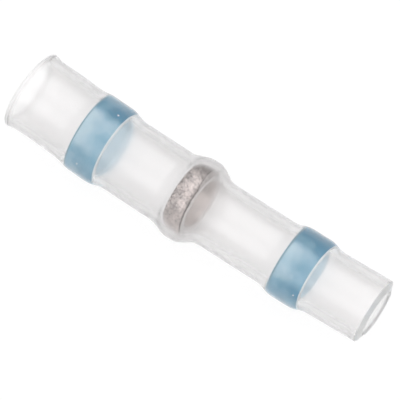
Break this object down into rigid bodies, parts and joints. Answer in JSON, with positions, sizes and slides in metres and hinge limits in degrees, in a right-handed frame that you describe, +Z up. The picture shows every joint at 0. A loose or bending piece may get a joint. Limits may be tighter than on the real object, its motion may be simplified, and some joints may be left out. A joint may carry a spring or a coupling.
{
  "type": "solder sleeve",
  "caption": "Clear heat-shrink sleeve drawn down over a solder ring and blue hot-melt sealing rings, open at each end, for splicing wires end to end.",
  "frame": {"origin": "the middle of the solder ring, on the sleeve's axis", "axes": "+X along the sleeve from the wide mouth to the narrow mouth, +Z up, lying on its side"},
  "size_m": [0.0399, 0.0086, 0.0086],
  "materials": {
    "clear_polyolefin": "clear shrink tubing with a waxy haze, slightly milky where it is thick",
    "fluxed_solder": "dull low-melting solder, crinkled and speckled under a pinkish film of flux",
    "blue_hot_melt": "mottled steel-blue sealing plastic, melted against the tube's wall"
  },
  "bodies": {
    "root": {"heat_shrink_sleeve": "clear_polyolefin", "solder_ring": "fluxed_solder", "wide_seal_ring": "blue_hot_melt", "narrow_seal_ring": "blue_hot_melt"}
  },
  "joints": []
}
